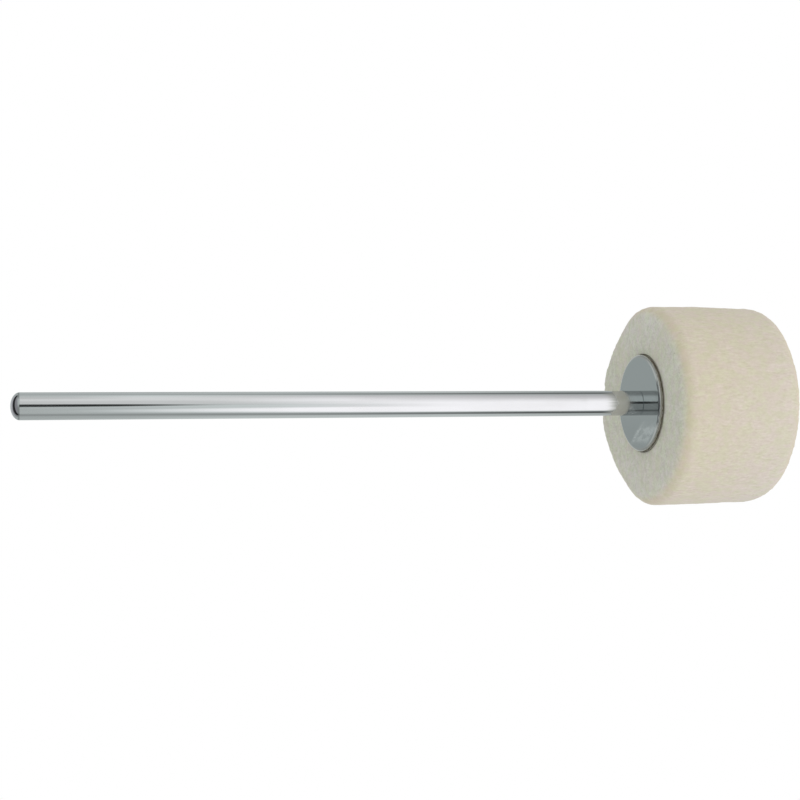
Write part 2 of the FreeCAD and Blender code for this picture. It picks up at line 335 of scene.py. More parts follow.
def plated_washer(name, seat, outer_face):
    """Flat ring: a rectangle with rounded corners turned about the axis, in depths below the outer face.

    The punch draws the outer face's edge over in a quarter ellipse. The mesh keeps each row's depth, as a
    share of the thickness, and whether it is on the rim.
    """
    thick = abs(seat - outer_face)
    edge = SHEARED_EDGE
    bore_corner = WASHER_BORE + edge
    profile = np.concatenate([
        arc(WASHER_RADIUS - ROLL_REACH, ROLL_DROP, ROLL_REACH, -90.0, 0.0, ROLL_ROWS, ROLL_DROP),
        upright(WASHER_RADIUS, np.linspace(ROLL_DROP, thick - edge, RIM_ROWS + 2)[1:-1]),
        arc(WASHER_RADIUS - edge, thick - edge, edge, 0.0, 90.0, CORNER_ROWS),
        [[WASHER_RADIUS - edge - FLAT_MARGIN, thick], [bore_corner + FLAT_MARGIN, thick]],
        arc(bore_corner, thick - edge, edge, 90.0, 180.0, CORNER_ROWS),
        arc(bore_corner, edge, edge, 180.0, 270.0, CORNER_ROWS),
        [[bore_corner + FLAT_MARGIN, 0.0], [WASHER_RADIUS - ROLL_REACH - FLAT_MARGIN, 0.0]],
    ])
    radius = profile[:, :1]
    depth = profile[:, 1:]
    inward = 1.0 if seat > outer_face else -1.0
    piece = skin(name, turned(radius, outer_face + inward * depth, WASHER_COLUMNS), joined=True)
    depth_share = depth / thick
    near_edge = np.clip((radius - (WASHER_RADIUS - RIM_REACH)) / RIM_BLEND, 0.0, 1.0)
    below_roll = np.clip((depth_share - RIM_START_SHARE) / RIM_BLEND_SHARE, 0.0, 1.0)
    mark(piece, "rim_depth", depth_share, WASHER_COLUMNS)
    mark(piece, "rim_share", near_edge * below_roll, WASHER_COLUMNS)
    return piece


def soft_noise(random, shape, row_blur, column_blur):
    """Random values blurred by a Gaussian along rows and columns, in grid steps, with unit spread.

    The blur multiplies the values' Fourier transform by exp(-2 (pi frequency blur)^2), so it wraps round.
    """
    values = random.standard_normal(shape)
    row_wave = np.fft.fftfreq(shape[0])[:, None]
    column_wave = np.fft.fftfreq(shape[1])[None, :]
    damping = np.exp(-2.0 * math.pi ** 2 * ((row_wave * row_blur) ** 2 + (column_wave * column_blur) ** 2))
    blurred = np.fft.ifft2(np.fft.fft2(values) * damping).real
    return blurred / blurred.std()


def felt_outline(low, high):
    """Rows of the felt's closed outline, each a radius and a height.

    It runs out along the lower face, round the rim, up the side, over the upper rim, in along the upper face
    and down the bore, with rows close together where a washer bites in.
    """
    under_washer = np.arange(FELT_BORE, BITE_START - 0.5 * FELT_STEP, 2.0 * FELT_STEP)
    face_radii = np.concatenate([under_washer, np.arange(BITE_START, BITE_END, CREASE_STEP)])
    outside = np.concatenate([
        [[BITE_END, low]],
        arc(FELT_RADIUS - FELT_LOWER_RIM, low + FELT_LOWER_RIM, FELT_LOWER_RIM, -90.0, 0.0, FELT_RIM_ROWS),
        arc(FELT_RADIUS - FELT_UPPER_RIM, high - FELT_UPPER_RIM, FELT_UPPER_RIM, 0.0, 90.0, FELT_RIM_ROWS),
        [[BITE_END, high]],
    ])
    return np.concatenate([
        level(face_radii, low),
        resampled(outside, FELT_STEP),
        level(face_radii[::-1], high),
        upright(FELT_BORE, np.linspace(high, low, FELT_BORE_ROWS + 2)[1:-1]),
    ])


def uneven_rim(radius, height, rim_height, swells):
    """How far hand trimming leaves a rim proud, by profile row and angle.

    It is a sum of Gaussians of the angle away from each swell, taken the shorter way round so that the rim
    meets itself, times a Gaussian of the row's distance from the rim.
    """
    swell, place, width = np.array(swells).T[:, :, None]
    degrees = np.degrees(angles(FELT_COLUMNS))
    away = np.mod(degrees - place + 180.0, 360.0) - 180.0
    from_rim = np.hypot(radius - (FELT_RADIUS - SWELL_INSET), height - rim_height)
    return bell(from_rim, 0.0, SWELL_REACH) * (swell * bell(away, 0.0, width)).sum(axis=0)


def felt_head():
    """Felt cylinder: its outline turned about the axis, moved along its normal by lumps and fibre grain.

    Outside the washers it drifts off the rod's axis, as punched felt does, a little more with height. A
    narrow dip at each washer's edge, a Gaussian of the distance from the crease, is where the washer bites
    in. Left out of the mesh are a row that only repeats the one before it, and every second row under the
    washers and in the bore, where the felt is plain. The mesh keeps how far each row is on a face, on a rim
    and in a crease.
    """
    low, high = (corner.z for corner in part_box("felt_head"))
    profile = felt_outline(low, high)
    radius = profile[:, :1]
    height = profile[:, 1:]
    ahead = np.roll(profile, -1, axis=0) - np.roll(profile, 1, axis=0)
    outward = np.stack([ahead[:, 1], -ahead[:, 0]], axis=1) / np.linalg.norm(ahead, axis=1)[:, None]
    on_face = np.abs(height - 0.5 * (low + high)) > FELT_FACE_SHARE * (high - low)
    crease_share = on_face * bell(radius, CREASE_RADIUS, CREASE_WIDTH)
    free = np.clip((radius - CREASE_RADIUS) / CREASE_FREE_REACH, 0.0, 1.0)
    random = np.random.default_rng(FELT_SEED)
    shape = (len(profile), FELT_COLUMNS)
    uneven = FELT_LUMP * soft_noise(random, shape, *FELT_LUMP_BLUR)
    uneven += FELT_GRAIN * soft_noise(random, shape, *FELT_GRAIN_BLUR)
    uneven += uneven_rim(radius, height, low + SWELL_INSET, LOWER_RIM_SWELLS)
    uneven += uneven_rim(radius, height, high - SWELL_INSET, UPPER_RIM_SWELLS)
    move = free * uneven - CREASE_DEPTH * crease_share - FELT_SEAT_GAP * (1.0 - free)
    rings = turned(radius + move * outward[:, :1], height + move * outward[:, 1:], FELT_COLUMNS)
    drift = FELT_DRIFT * np.clip((height - low) / (FELT_DRIFT_SHARE * (high - low)), 0.0, 1.0)
    rings[:, :, 0] += (FELT_OFF_CENTRE[0] + drift) * free
    rings[:, :, 1] += FELT_OFF_CENTRE[1] * free
    between_corners = (radius > FELT_BORE) | ~on_face
    plain_rows = np.flatnonzero((radius < BITE_START) & between_corners)
    row_gap = np.linalg.norm(profile - np.roll(profile, 1, axis=0), axis=1)
    repeated_rows = np.flatnonzero(row_gap < REPEATED_ROW_GAP)
    kept = np.delete(np.arange(len(profile)), np.concatenate([plain_rows[::2], repeated_rows]))
    piece = skin("felt_head_body", rings[kept], joined=True, sharp_angle=FELT_SHARP_ANGLE)
    slope = np.abs(outward[:, 1])
    face_share = np.clip((slope - FACE_SLOPE_START) / FACE_SLOPE_SPAN, 0.0, 1.0)
    rim_share = bell(slope, RIM_SLOPE, RIM_SLOPE_WIDTH)
    mark(piece, "face_share", face_share[kept], FELT_COLUMNS)
    mark(piece, "rim_share", rim_share[kept], FELT_COLUMNS)
    mark(piece, "crease_share", crease_share[kept], FELT_COLUMNS)
    return piece


def spring_washer():
    """Split ring: a rounded rectangle carried round the axis from one side of the slit to the other.

    At each point of the section the slit's two sides are planes of constant y that lean with height, so the
    start and end angles are arcsin(y / radius) of those planes, and the stations divide the way between them
    equally.
    """
    low, high = (corner.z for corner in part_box("lock_washer"))
    rounding = SPRING_ROUNDING
    section = np.concatenate([
        arc(SPRING_RADIUS - rounding, low + rounding, rounding, -90.0, 0.0, CORNER_ROWS),
        arc(SPRING_RADIUS - rounding, high - rounding, rounding, 0.0, 90.0, CORNER_ROWS),
        arc(SPRING_BORE + rounding, high - rounding, rounding, 90.0, 180.0, CORNER_ROWS),
        arc(SPRING_BORE + rounding, low + rounding, rounding, 180.0, 270.0, CORNER_ROWS),
    ])
    radius = section[None, :, 0]
    height = section[None, :, 1]
    slit_middle = -SLIT_LEAN * (height - 0.5 * (low + high)) / (high - low)
    start = np.arcsin((slit_middle + 0.5 * SLIT_WIDTH) / radius)
    end = TURN + np.arcsin((slit_middle - 0.5 * SLIT_WIDTH) / radius)
    station = np.linspace(0.0, 1.0, SPRING_STATIONS)[:, None]
    angle = start + station * (end - start)
    level_height = np.broadcast_to(height, angle.shape)
    rings = np.stack([radius * np.cos(angle), radius * np.sin(angle), level_height], axis=2)
    return skin("spring_washer", rings, joined=False)


def hexagon_nut():
    """Nut: at each angle a closed outline of the threaded bore, faces, 30 degree chamfers and flats.

    The flats lie at (half across flats) / cos(angle from the flat's middle). A chamfer is a cone that starts
    at the face radius, so it meets the flats where it has fallen by (flat radius - face radius) times
    tan(30 degrees).
    """
    low, high = (corner.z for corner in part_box("top_nut"))
    angle = angles(NUT_COLUMNS)[None, :]
    even = np.ones_like(angle)
    bore_height = np.linspace(low, high, NUT_BORE_ROWS)[:, None] * even
    from_face = np.minimum(bore_height - low, high - bore_height)
    mouth = STUD_RADIUS + NUT_COUNTERSINK
    thread = STUD_RADIUS + NUT_THREAD_PLAY - thread_depth(bore_height, angle)
    bore = np.maximum(thread, mouth - from_face)
    face = np.array([[0.5 * (mouth + NUT_FACE_RADIUS)], [NUT_FACE_RADIUS]]) * even
    from_middle = np.mod(angle, NUT_SIDE_ANGLE) - 0.5 * NUT_SIDE_ANGLE
    corner_radius = 0.5 * NUT_ACROSS_FLATS / math.cos(0.5 * NUT_SIDE_ANGLE)
    flat = np.minimum(0.5 * NUT_ACROSS_FLATS / np.cos(from_middle), NUT_CORNER_SHARE * corner_radius)
    fall = (flat - NUT_FACE_RADIUS) * math.tan(NUT_CHAMFER_ANGLE)
    flat_share = np.linspace(0.0, 1.0, NUT_FLAT_ROWS)[:, None]
    flat_height = (high - fall) + flat_share * ((low + fall) - (high - fall))
    radius = np.concatenate([bore, face, np.repeat(flat, NUT_FLAT_ROWS, axis=0), face[::-1]])
    height = np.concatenate([bore_height, np.full_like(face, high), flat_height, np.full_like(face, low)])
    return skin("hexagon_nut", turned(radius, height, NUT_COLUMNS), joined=True, sharp_angle=NUT_SHARP_ANGLE)


class Wiring:
    """A node tree with short ways to add nodes. Each gives what later ones take in."""

    def __init__(self, tree):
        self.tree = tree
        self.tree.nodes.clear()

    def node(self, kind, settings=None, **inputs):
        """Adds a node, sets its properties, then sets or links its inputs by name, with _ for a space."""
        made = self.tree.nodes.new(kind)
        for name, value in (settings or {}).items():
            setattr(made, name, value)
        for name, value in inputs.items():
            self.feed(made.inputs[name.replace("_", " ")], value)
        return made

    def feed(self, socket, value):
        """Links an output to a socket, or sets the socket's own value."""
        if isinstance(value, bpy.types.NodeSocket):
            self.tree.links.new(value, socket)
        else:
            socket.default_value = value

    def feed_all(self, made, *values):
        """Feeds a node's first inputs in order."""
        for socket, value in zip(made.inputs, values):
            self.feed(socket, value)
        return made

    def math(self, operation, *values):
        """One math node on one, two or three numbers or outputs."""
        made = self.node("ShaderNodeMath", {"operation": operation})
        return self.feed_all(made, *values).outputs[0]

    def layered(self, share, under, over):
        """One shader over another by a share."""
        made = self.node("ShaderNodeMixShader")
        return self.feed_all(made, share, under.outputs[0], over.outputs[0])


class Finish(Wiring):
    """A material under way: patterns on its own coordinates, sums on them, and colours mixed by them."""

    def __init__(self, name):
        self.material = bpy.data.materials.new(name)
        self.material.use_nodes = True
        super().__init__(self.material.node_tree)

    def surface(self, shader):
        """Makes a shader the material's surface and gives the material."""
        self.node("ShaderNodeOutputMaterial", Surface=shader.outputs[0])
        return self.material

    def metal(self, colour, roughness, normal, metallic=1.0):
        """Makes plain or partly covered metal the material's surface and gives the material."""
        made = self.node("ShaderNodeBsdfPrincipled", Base_Color=colour, Roughness=roughness, Normal=normal)
        self.feed(made.inputs["Metallic"], metallic)
        return self.surface(made)

    def product(self, first, *others):
        """All the numbers multiplied."""
        for other in others:
            first = self.math("MULTIPLY", first, other)
        return first

    def total(self, first, *others):
        """All the numbers added."""
        for other in others:
            first = self.math("ADD", first, other)
        return first

    def more(self, value, share, amount):
        """The value plus a share of an amount."""
        return self.math("MULTIPLY_ADD", share, amount, value)

    def toward(self, value, goal, share):
        """The value carried a share of the way to a goal."""
        return self.more(value, share, self.math("SUBTRACT", goal, value))

    def rest(self, share):
        """What a share leaves of one."""
        return self.math("SUBTRACT", 1.0, share)

    def ramp(self, value, low, high, to=(0.0, 1.0), smooth=True):
        """Carries a range of values to another range, clamped, with a smooth or straight step between."""
        kind = "SMOOTHSTEP" if smooth else "LINEAR"
        made = self.node("ShaderNodeMapRange", {"interpolation_type": kind})
        return self.feed_all(made, value, low, high, *to).outputs[0]

    def fade(self, value, low, high):
        """One up to the low value, then falling to zero at the high one."""
        return self.ramp(value, low, high, to=(1.0, 0.0))

    def window(self, value, at, reach, soft):
        """One near a place, zero beyond a reach either side of it, with soft edges."""
        distance = self.math("ABSOLUTE", self.math("SUBTRACT", value, at))
        return self.fade(distance, reach - soft, reach + soft)

    def patch(self, angle, height, at, reach, soft):
        """A window of direction times one of height, with each size given for both."""
        around = self.window(angle, at[0], reach[0], soft[0])
        upward = self.window(height, at[1], reach[1], soft[1])
        return self.product(around, upward)

    def place(self, stretch=(1.0, 1.0, 1.0), turn=0.0):
        """Object coordinates that draw a pattern out by a factor along each axis, turned about Z."""
        coordinates = self.node("ShaderNodeTexCoord").outputs["Object"]
        made = self.node("ShaderNodeMapping", {"vector_type": "TEXTURE"}, Vector=coordinates, Scale=stretch)
        made.inputs["Rotation"].default_value = (0.0, 0.0, turn)
        return made.outputs[0]

    def position(self):
        """The point's own X, Y and Z, in metres."""
        return self.node("ShaderNodeSeparateXYZ", Vector=self.place()).outputs

    def distance(self, across, along):
        """Length of two sides at a right angle: the root of the sum of their squares."""
        squares = self.total(self.math("POWER", across, 2.0), self.math("POWER", along, 2.0))
        return self.math("SQRT", squares)

    def heading(self, x, y):
        """Direction round the object in degrees: 0 towards the camera, growing towards -X."""
        turned_by = self.math("ARCTAN2", self.product(x, -1.0), self.product(y, -1.0))
        return self.product(turned_by, 360.0 / TURN)

    def noise(self, scale, detail=3.0, roughness=0.55, stretch=(1.0, 1.0, 1.0), turn=0.0):
        """Cloudy noise from 0 to 1 with features about one over the scale in size, drawn out and turned."""
        made = self.node("ShaderNodeTexNoise", Scale=scale, Detail=detail, Roughness=roughness)
        self.feed(made.inputs["Vector"], self.place(stretch, turn))
        return made.outputs["Fac"]

    def mix(self, share, first, second, blend="MIX"):
        """Two colours mixed by a share."""
        made = self.node("ShaderNodeMix", {"data_type": "RGBA", "blend_type": blend})
        self.feed(made.inputs[0], share)
        self.feed(made.inputs[MIX_FIRST], first)
        self.feed(made.inputs[MIX_SECOND], second)
        return made.outputs[MIX_RESULT]

    def tinted(self, colour, tint):
        """A colour times a tint."""
        return self.mix(1.0, colour, tint, "MULTIPLY")

    def attribute(self, name):
        """One number that the mesh keeps at each vertex."""
        return self.node("ShaderNodeAttribute", {"attribute_name": name}).outputs["Fac"]

    def bump(self, height, strength, distance):
        """Normals of a height map, in metres."""
        return self.node("ShaderNodeBump", Height=height, Strength=strength, Distance=distance).outputs[0]


def chrome_plate():
    """Bright chrome on a drawn rod: faint lines along it and a patchy haze.

    Near the washer it is rougher where hands hold it, with painted shade darkening it a little, and wiped
    smooth below that.
    """
    clean_chrome = (0.645, 0.653, 0.661, 1.0)
    hazy_chrome = (0.612, 0.617, 0.621, 1.0)
    shade_black = (0.0, 0.0, 0.0, 1.0)
    finish = Finish("chrome_plate")
    drawn = finish.noise(2600.0, detail=2.0, stretch=(1.0, 1.0, 80.0))
    haze = finish.noise(130.0, stretch=(1.0, 1.0, 4.0))
    below_washer = finish.math("SUBTRACT", SHOULDER, finish.position()["Z"])
    wiped = finish.window(below_washer, at=13.8 * MM, reach=5.3 * MM, soft=0.8 * MM)
    handled = finish.window(below_washer, at=4.7 * MM, reach=2.5 * MM, soft=1.4 * MM)
    # Painted shade: the chrome darkens a little a few millimetres below the washer.
    shade_near_washer = finish.ramp(below_washer, 5.0 * MM, 8.5 * MM, to=(0.11, 0.0), smooth=False)
    shade_near_washer = finish.product(shade_near_washer, finish.ramp(below_washer, 3.8 * MM, 5.0 * MM))
    roughness = finish.ramp(haze, 0.35, 0.75, to=(0.045, 0.11))
    roughness = finish.total(roughness, finish.ramp(drawn, 0.4, 0.8, to=(0.0, 0.04)))
    roughness = finish.product(roughness, finish.more(1.0, wiped, -0.65))
    roughness = finish.more(roughness, handled, 0.07)
    colour = finish.mix(finish.ramp(haze, 0.3, 0.8), clean_chrome, hazy_chrome)
    colour = finish.mix(shade_near_washer, colour, shade_black)
    normal = finish.bump(drawn, strength=0.06, distance=0.02 * MM)
    return finish.metal(colour, roughness, normal)


def rubbed_patch(finish, x, y):
    """Share of a smeared patch on the washer: a window along X times slanting ones, one a brighter lip."""
    slant = finish.more(y, x, -1.24)
    smears = finish.noise(620.0, detail=2.0, roughness=0.5, stretch=(1.0, 2.2, 1.0), turn=-0.25)
    smear = finish.window(slant, at=-16.2 * MM, reach=6.2 * MM, soft=1.2 * MM)
    smear = finish.product(smear, finish.ramp(smears, 0.36, 0.64, to=(0.14, 0.46)))
    lip = finish.window(slant, at=-11.2 * MM, reach=0.8 * MM, soft=0.6 * MM)
    along = finish.window(x, at=9.5 * MM, reach=3.0 * MM, soft=1.4 * MM)
    return finish.product(along, finish.more(smear, lip, 0.2))


def washer_plate():
    """Bright plate on punched sheet: fine scratches two ways, a rubbed patch and a torn band round its rim.

    The torn band is where the rim's depth, shifted by noise, is past its middle, and its dark brown
    is partly painted shade where the washer meets the felt. A painted dark reflection lies inside
    the edge on the -Y side.
    """
    plate = (0.655, 0.687, 0.69, 1.0)
    rubbed_plate = (0.80, 0.825, 0.815, 1.0)
    rolled_edge = (0.70, 0.69, 0.67, 1.0)
    sheared_rim = (0.44, 0.43, 0.41, 1.0)
    dark_reflection_grey = (0.20, 0.205, 0.205, 1.0)
    torn_and_shaded_brown = (0.13, 0.114, 0.085, 1.0)
    finish = Finish("washer_plate")
    one_way = finish.noise(1500.0, detail=2.0, stretch=(1.0, 30.0, 1.0), turn=0.7)
    other_way = finish.noise(1300.0, detail=2.0, stretch=(1.0, 25.0, 1.0), turn=-0.9)
    scratches = finish.math("MAXIMUM", finish.ramp(one_way, 0.62, 0.8), finish.ramp(other_way, 0.64, 0.82))
    x, y = finish.position()[:2]
    radius = finish.distance(x, y)
    rubbed = rubbed_patch(finish, x, y)
    torn = finish.noise(900.0, detail=3.0, roughness=0.6, stretch=(1.0, 1.0, 2.0))
    ragged = finish.noise(260.0, detail=2.0)
    shift = finish.ramp(torn, 0.3, 0.7, to=(-0.1, 0.1), smooth=False)
    shift = finish.total(shift, finish.ramp(ragged, 0.35, 0.65, to=(-0.14, 0.14)))
    depth = finish.total(finish.attribute("rim_depth"), shift)
    rim = finish.attribute("rim_share")
    # Burr line and torn band. The band's dark brown is partly painted shade where the washer meets the felt.
    burr = finish.product(finish.window(depth, at=0.33, reach=0.06, soft=0.04), 0.45)
    band = finish.product(rim, finish.math("MAXIMUM", burr, finish.ramp(depth, 0.5, 0.68)))
    rolled = finish.ramp(radius, WASHER_RADIUS - 1.0 * MM, WASHER_RADIUS - 0.7 * MM)
    # Painted dark reflection: a dark line inside the edge, on the -Y side only.
    near = finish.window(x, at=0.0, reach=6.8 * MM, soft=1.4 * MM)
    near = finish.product(near, finish.math("LESS_THAN", y, 0.0))
    dark_reflection_line = finish.more(radius, shift, 0.8 * MM)
    dark_reflection_line = finish.window(dark_reflection_line, at=WASHER_RADIUS - 0.66 * MM, reach=0.36 * MM, soft=0.12 * MM)
    colour = finish.mix(rubbed, plate, rubbed_plate)
    colour = finish.mix(rolled, colour, rolled_edge)
    colour = finish.mix(rim, colour, sheared_rim)
    colour = finish.mix(finish.product(near, dark_reflection_line), colour, dark_reflection_grey)
    colour = finish.mix(band, colour, torn_and_shaded_brown)
    roughness = finish.more(0.075, scratches, 0.07)
    roughness = finish.more(roughness, rubbed, 0.4)
    roughness = finish.more(roughness, rim, 0.2)
    covered = finish.math("MAXIMUM", finish.product(rubbed, 0.4), finish.product(band, 0.7))
    normal = finish.bump(scratches, strength=0.05, distance=0.02 * MM)
    return finish.metal(colour, roughness, normal, metallic=finish.rest(covered))


def zinc_plate():
    """Bright zinc on pressed hardware: cloudy grey, with a soft sheen."""
    dull_zinc = (0.46, 0.475, 0.485, 1.0)
    bright_zinc = (0.60, 0.61, 0.61, 1.0)
    finish = Finish("zinc_plate")
    cloud = finish.noise(700.0, detail=4.0, roughness=0.6)
    fine = finish.noise(3500.0, detail=3.0, roughness=0.6)
    colour = finish.mix(finish.ramp(cloud, 0.3, 0.7), dull_zinc, bright_zinc)
    roughness = finish.ramp(cloud, 0.25, 0.75, to=(0.22, 0.38))
    normal = finish.bump(fine, strength=0.12, distance=0.03 * MM)
    return finish.metal(colour, roughness, normal)


def felt_light_and_drift(finish, face):
    """Painted light and a slow change of the felt's colour, as a tint.

    The round side gets paler towards +X and upwards, which is painted light, and the ends get paler away
    from X = 0.
    """
    side_middle = (0.975, 0.976, 0.98, 1.0)
    side_pale = (0.995, 1.012, 1.10, 1.0)
    end_middle = (0.98, 0.993, 1.0, 1.0)
    end_pale = (1.03, 1.03, 1.075, 1.0)
    where = finish.position()
    x = where["X"]
    # Painted light: paler towards +X and upwards on the side.
    upward = finish.product(finish.math("SUBTRACT", where["Z"], 0.5 * (SHOULDER + STUD_END)), 22.0)
    paler = finish.total(finish.more(0.4, x, 11.0), upward)
    side = finish.mix(finish.ramp(paler, 0.0, 1.0, smooth=False), side_middle, side_pale)
    end = finish.mix(finish.ramp(finish.math("ABSOLUTE", x), 0.010, 0.027), end_middle, end_pale)
    return finish.mix(face, side, end)


def wool_felt():
    """Pressed wool: fibres along the rod on the side, mottled grain on the ends, brown rims with painted
    shade, dark specks.
    """
    side_dark = (0.573, 0.511, 0.396, 1.0)
    side_light = (0.698, 0.641, 0.526, 1.0)
    end_dark = (0.568, 0.562, 0.476, 1.0)
    end_light = (0.745, 0.742, 0.655, 1.0)
    rim_brown_and_shade = (0.622, 0.515, 0.345, 1.0)
    cloud_cream = (0.640, 0.575, 0.440, 1.0)
    patch_cream = (0.690, 0.610, 0.510, 1.0)
    warm = (1.026, 0.986, 1.022, 1.0)
    cool = (0.987, 1.009, 0.933, 1.0)
    speck_brown = (0.300, 0.270, 0.220, 1.0)
    crease_shadow_brown = (0.110, 0.092, 0.065, 1.0)
    finish = Finish("wool_felt")
    fibres = finish.noise(1600.0, detail=3.0, roughness=0.6, stretch=(1.0, 1.0, 3.2))
    grain = finish.noise(1700.0, detail=4.0, roughness=0.65, stretch=(1.0, 1.0, 1.6))
    mottle = finish.noise(620.0, detail=3.0, roughness=0.6)
    patches = finish.noise(240.0, detail=2.0, roughness=0.5, stretch=(1.0, 1.0, 1.8))
    cloud = finish.noise(85.0)
    tinge = finish.noise(430.0, detail=2.0, roughness=0.5, stretch=(1.0, 1.0, 1.4))
    face = finish.more(finish.attribute("face_share"), finish.math("SUBTRACT", patches, 0.5), 0.9)
    face = finish.ramp(face, 0.12, 0.88, smooth=False)
    rim = finish.product(finish.attribute("rim_share"), 0.5)
    # Painted shadow: the crease where a washer bites into the felt is darkened.
    crease = finish.product(finish.attribute("crease_share"), 0.8)
    streaks = finish.math("SUBTRACT", fibres, 0.5)
    streaks = finish.product(streaks, finish.ramp(patches, 0.35, 0.65, to=(0.25, 0.85)))
    side_tone = finish.more(finish.total(streaks, 0.275), grain, 0.45)
    end_tone = finish.more(finish.product(mottle, 0.45), grain, 0.55)
    cells = finish.node("ShaderNodeTexVoronoi", Vector=finish.place((1.0, 1.0, 1.7)), Scale=330.0).outputs
    chance = finish.node("ShaderNodeSeparateColor", Color=cells["Color"]).outputs[0]
    few = finish.ramp(chance, 0.93, 0.95)
    specks = finish.product(finish.fade(cells["Distance"], 0.05, 0.12), few, 0.5)
    side = finish.mix(finish.ramp(side_tone, 0.33, 0.67, smooth=False), side_dark, side_light)
    end = finish.mix(finish.ramp(end_tone, 0.39, 0.61, smooth=False), end_dark, end_light)
    colour = finish.mix(face, side, end)
    # Brown rims, partly painted shade where the face turns into the side.
    colour = finish.mix(rim, colour, rim_brown_and_shade)
    colour = finish.mix(finish.ramp(cloud, 0.35, 0.7, to=(0.0, 0.25)), colour, cloud_cream)
    colour = finish.mix(finish.ramp(patches, 0.5, 0.75, to=(0.0, 0.3)), colour, patch_cream)
    colour = finish.tinted(colour, finish.mix(finish.ramp(tinge, 0.35, 0.65), warm, cool))
    colour = finish.tinted(colour, felt_light_and_drift(finish, face))
    colour = finish.mix(specks, colour, speck_brown)
    # Painted shadow in the crease at the washer's edge.
    colour = finish.mix(crease, colour, crease_shadow_brown)
    normal = finish.bump(side_tone, strength=0.3, distance=0.25 * MM)
    shader = finish.node("ShaderNodeBsdfPrincipled", Base_Color=colour, Roughness=0.95, Normal=normal)
    shader.inputs["Specular IOR Level"].default_value = 0.15
    shader.inputs["Sheen Weight"].default_value = 0.12
    shader.inputs["Sheen Roughness"].default_value = 0.6
    return finish.surface(shader)


def floor_paint():
    """Pale matt floor that thins out to nothing towards its edge, so it has no horizon."""
    pale_grey = (0.70, 0.73, 0.735, 1.0)
    finish = Finish("floor_paint")
    x, y = finish.position()[:2]
    thin = finish.ramp(finish.distance(x, y), 0.35 * FLOOR_RADIUS, 0.95 * FLOOR_RADIUS)
    matt = finish.node("ShaderNodeBsdfDiffuse", Color=pale_grey)
    clear = finish.node("ShaderNodeBsdfTransparent")
    return finish.surface(finish.layered(thin, matt, clear))


def tent_walls(finish, angle, height):
    """Glow of the tent's grey walls, lit and shaded in patches of direction and height."""
    wall = finish.more(0.46, finish.window(angle, at=58.0, reach=50.0, soft=40.0), 0.31)
    back_lift = finish.patch(angle, height, at=(-125.0, 0.32), reach=(35.0, 0.22), soft=(20.0, 0.12))
    wall = finish.more(wall, back_lift, 0.14)
    far_lift = finish.patch(angle, height, at=(140.0, 0.31), reach=(30.0, 0.16), soft=(16.0, 0.1))
    wall = finish.more(wall, far_lift, 0.06)
    near_lift = finish.ramp(height, 0.04, 0.2, to=(0.06, 0.15))
    wall = finish.more(wall, finish.window(angle, at=-33.0, reach=34.0, soft=8.0), near_lift)
    low_shade = finish.ramp(height, 0.02, 0.11, to=(0.2, 0.0))
    shade = finish.product(finish.window(angle, at=78.0, reach=18.0, soft=8.0), low_shade)
    mid_shade = finish.ramp(height, 0.17, 0.24, to=(0.1, 0.0))
    shade = finish.more(shade, finish.window(angle, at=34.0, reach=10.0, soft=6.0), mid_shade)
    side_shade = finish.patch(angle, height, at=(-100.0, 0.13), reach=(20.0, 0.09), soft=(10.0, 0.05))
    shade = finish.more(shade, side_shade, 0.1)
    high_shade = finish.ramp(height, 0.45, 0.6, to=(0.0, 0.18))
    shade = finish.more(shade, finish.window(angle, at=128.0, reach=16.0, soft=8.0), high_shade)
    return finish.product(wall, finish.rest(shade))


def tent_panel(finish, angle, height):
    """Glow of the tent's front panel: brightest towards +X, with a dip, a glint and a fall towards -X."""
    panel = finish.ramp(angle, 12.0, 100.0, to=(1.12, 0.52), smooth=False)
    dip = finish.window(angle, at=-7.0, reach=14.0, soft=7.0)
    dip = finish.product(dip, finish.ramp(height, 0.3, 0.48, to=(0.2, 0.0)))
    glint = finish.patch(angle, height, at=(50.0, 0.25), reach=(16.0, 0.1), soft=(8.0, 0.05))
    fall = finish.product(finish.ramp(angle, 25.0, 60.0), finish.ramp(height, 0.28, 0.62, to=(0.0, 0.2)))
    loss = finish.total(finish.more(dip, glint, -0.12), fall)
    return finish.product(panel, finish.rest(loss))


def panel_reach(finish, angle, height):
    """Share of the front panel: between its sides, above a lower edge that comes sooner in two places."""
    sooner = finish.product(finish.window(angle, at=-42.0, reach=18.0, soft=14.0), 0.16)
    sooner = finish.total(sooner, finish.ramp(angle, 15.0, 45.0, to=(0.0, 0.06)))
    rise = finish.ramp(finish.total(height, sooner), 0.17, 0.43)
    return finish.product(finish.ramp(angle, -78.0, -62.0), finish.fade(angle, 90.0, 120.0), rise)


def tent_openings(finish, angle, height):
    """Share of light left by two dark openings at the tent's sides. The +X one leans back with height."""
    minus_x = finish.window(angle, at=108.0, reach=11.0, soft=7.0)
    minus_x = finish.product(minus_x, finish.ramp(height, 0.05, 0.65, to=(0.24, 0.73)))
    leaning = finish.math("SUBTRACT", angle, finish.ramp(height, 0.02, 0.3, to=(-79.0, -90.0)))
    plus_x = finish.window(leaning, at=0.0, reach=11.0, soft=8.0)
    plus_x = finish.product(plus_x, finish.ramp(height, 0.1, 0.65, to=(0.25, 0.85)))
    return finish.product(finish.rest(minus_x), finish.rest(plus_x))


def tent_header(finish, turned_away, height):
    """Share of the dull header over the panel, whose hem is folded and hangs lower away from the front."""
    folds = finish.noise(6.0, detail=1.0, stretch=(1.0, 1.0, 40.0))
    hem = finish.more(finish.math("SUBTRACT", height, 0.004), folds, 0.008)
    hem = finish.total(hem, finish.ramp(turned_away, 55.0, 100.0, to=(0.0, 0.007)))
    upward = finish.product(finish.ramp(hem, 0.6165, 0.6315), finish.fade(height, 0.75, 0.85))
    return finish.product(upward, finish.fade(turned_away, 95.0, 125.0))


